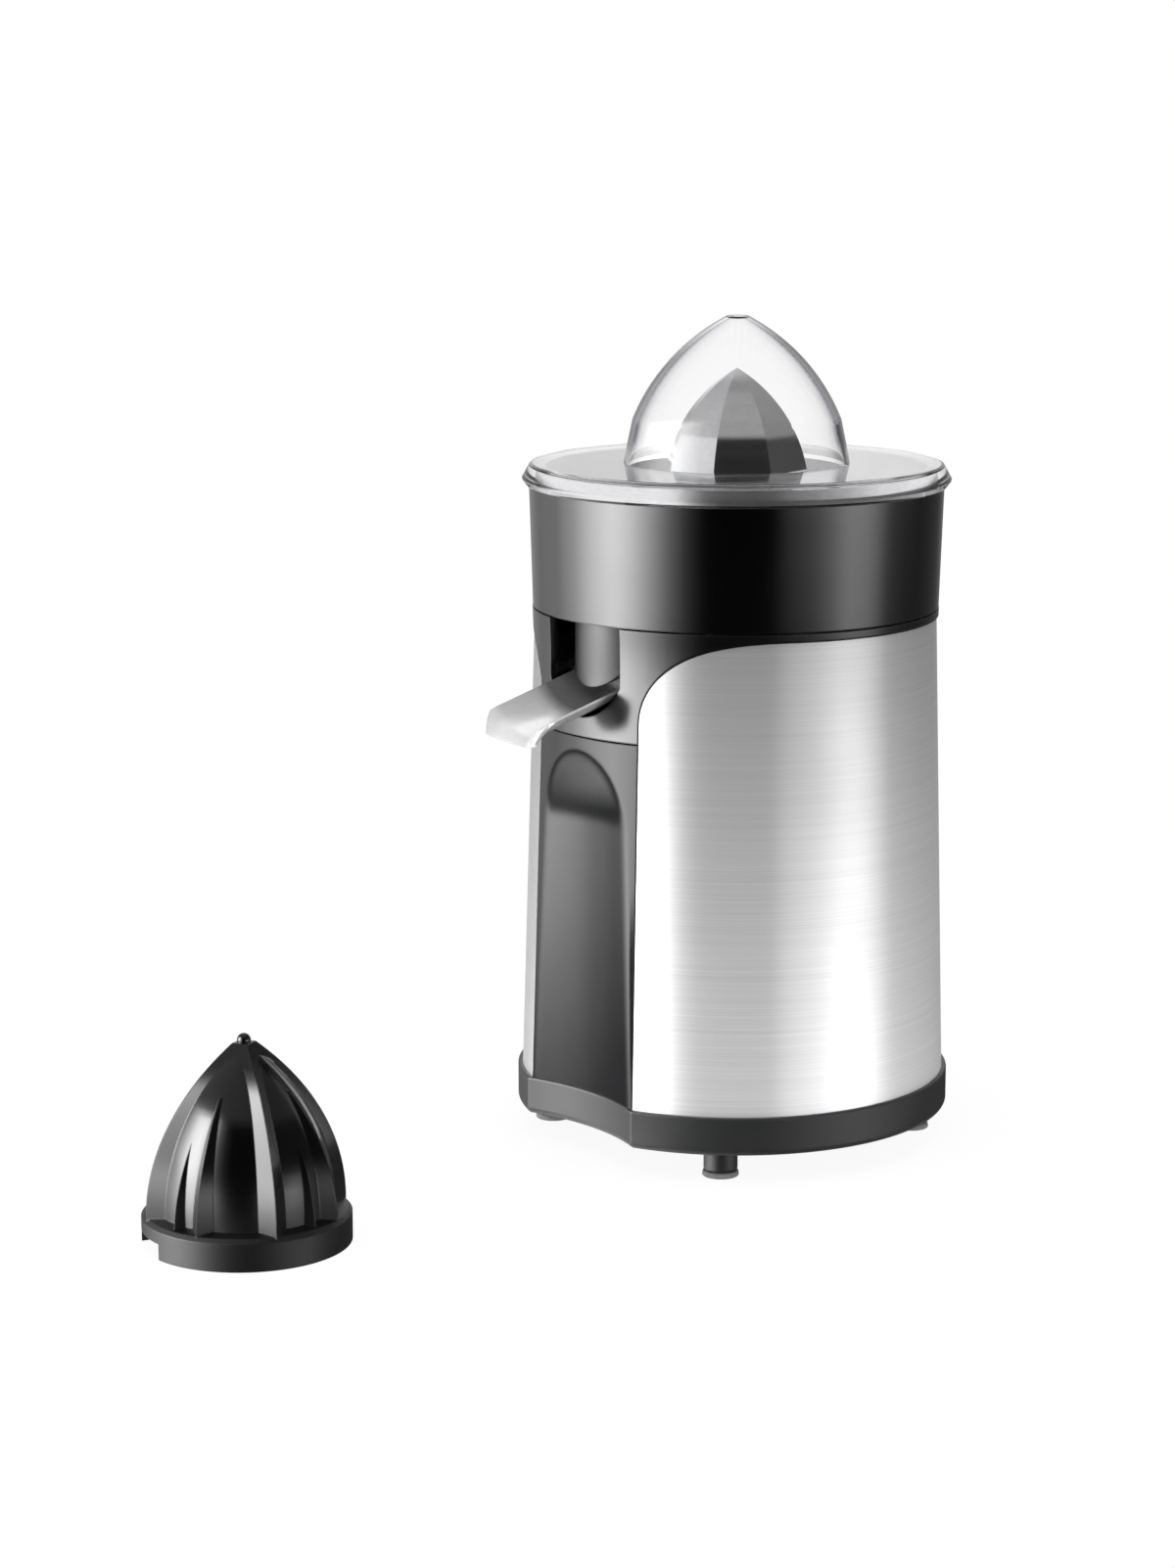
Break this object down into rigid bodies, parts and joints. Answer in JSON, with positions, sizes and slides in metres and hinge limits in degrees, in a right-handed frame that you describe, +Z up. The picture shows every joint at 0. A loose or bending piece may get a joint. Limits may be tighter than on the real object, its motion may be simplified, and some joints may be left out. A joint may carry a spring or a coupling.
{
  "type": "electric citrus press",
  "caption": "Electric citrus press: tapered motor housing with steel shell and tilting spout, lift-off juice bowl with strainer, reaming cone, clear domed lid, and a larger slip-on cone.",
  "frame": {"origin": "on the machine's upright axis, at the height of the table under the foot pads", "axes": "+Z up along the drive shaft, the spout points to -Y, the cord leaves to +Y, +X is the right side seen from the front"},
  "size_m": [0.175, 0.3681, 0.3301],
  "materials": {
    "base_plastic": "satin",
    "pad_rubber": "matte",
    "shell_steel": "brushed",
    "panel_plastic": "satin",
    "collar_plastic": "satin",
    "spout_steel": "satin",
    "bowl_plastic": "gloss",
    "strainer_steel": "satin",
    "lid_clear": "clear",
    "cone_steel": "polished",
    "hub_plastic": "satin",
    "large_cone_plastic": "gloss",
    "shaft_steel": "turned",
    "black_rubber": "matte",
    "bush_bronze": "satin",
    "gear_nylon": "satin",
    "pinion_steel": "turned",
    "plate_steel": "zinc plated",
    "screw_steel": "zinc plated",
    "switch_plastic": "satin",
    "button_plastic": "satin",
    "lamination": "stacked sheet",
    "winding_copper": "enamelled",
    "fan_plastic": "satin"
  },
  "bodies": {
    "housing": {"base": "base_plastic", "foot_1": "base_plastic", "foot_2": "base_plastic", "foot_3": "base_plastic", "foot_4": "base_plastic", "foot_pad_1": "pad_rubber", "foot_pad_2": "pad_rubber", "foot_pad_3": "pad_rubber", "foot_pad_4": "pad_rubber", "cord_gland": "black_rubber", "steel_shell": "shell_steel", "front_panel": "panel_plastic", "collar": "collar_plastic", "tie_bolts": "screw_steel", "shaft_bush": "bush_bronze", "shaft_seal": "black_rubber", "thrust_washer": "bush_bronze", "idler_axle": "shaft_steel", "bridge_plate": "plate_steel", "bridge_spacers": "plate_steel", "bridge_screws": "screw_steel", "return_spring": "screw_steel", "micro_switch": "switch_plastic", "gear_plate": "plate_steel", "plate_screws": "screw_steel", "motor_stator": "lamination", "motor_windings": "winding_copper", "motor_spacers": "plate_steel", "motor_bracket": "plate_steel", "motor_bolts": "screw_steel", "upper_motor_bush": "bush_bronze", "lower_motor_bush": "bush_bronze"},
    "plunger": {"press_plate": "gear_nylon", "switch_button": "button_plastic"},
    "spindle": {"drive_shaft": "shaft_steel", "output_gear": "gear_nylon"},
    "cone": {"small_cone": "cone_steel", "cone_hub": "hub_plastic"},
    "idler": {"idler_gear": "gear_nylon"},
    "rotor": {"motor_rotor": "lamination", "motor_shaft": "shaft_steel", "motor_pinion": "pinion_steel", "cooling_fan": "fan_plastic"},
    "bowl": {"bowl": "bowl_plastic", "strainer": "strainer_steel", "sieve": "strainer_steel", "strainer_hub": "strainer_steel"},
    "lid": {"lid": "lid_clear"},
    "spout": {"spout": "spout_steel"},
    "large_cone": {"large_cone": "large_cone_plastic"}
  },
  "joints": [
    {"name": "motor_spin", "type": "hinge", "parent": "housing", "child": "rotor", "pos_m": [0, 0, 0.12], "axis": [0, 0, 1], "continuous": true},
    {"name": "idler_spin", "type": "hinge", "parent": "housing", "child": "idler", "pos_m": [0, 0.03, 0.177], "axis": [0, 0, 1], "continuous": true},
    {"name": "press", "type": "slide", "parent": "housing", "child": "plunger", "axis": [0, 0, -1], "range_m": [0, 0.002], "stiffness_N_per_m": 2000, "springref_m": -0.003, "deforming": ["return_spring"]},
    {"name": "spindle_spin", "type": "hinge", "parent": "plunger", "child": "spindle", "pos_m": [0, 0, 0.2], "axis": [0, 0, 1], "continuous": true},
    {"name": "cone_lift", "type": "slide", "parent": "spindle", "child": "cone", "axis": [0, 0, 1], "range_m": [0, 0.1]},
    {"name": "bowl_lift", "type": "slide", "parent": "housing", "child": "bowl", "axis": [0, 0, 1], "range_m": [0, 0.1]},
    {"name": "lid_lift", "type": "slide", "parent": "bowl", "child": "lid", "axis": [0, 0, 1], "range_m": [0, 0.1]},
    {"name": "spout_tilt", "type": "hinge", "parent": "housing", "child": "spout", "pos_m": [0, -0.064, 0.193], "axis": [-1, 0, 0], "range_deg": [0, 22]},
    {"name": "large_cone_lift", "type": "slide", "parent": "housing", "child": "large_cone", "axis": [0, 0, 1], "range_m": [0, 0.1]}
  ],
  "couplings": [
    {"joint": "idler_spin", "follows": "motor_spin", "ratio": -0.25},
    {"joint": "spindle_spin", "follows": "motor_spin", "ratio": 0.0625},
    {"joint": "cone_lift", "follows": "bowl_lift", "ratio": 1}
  ]
}
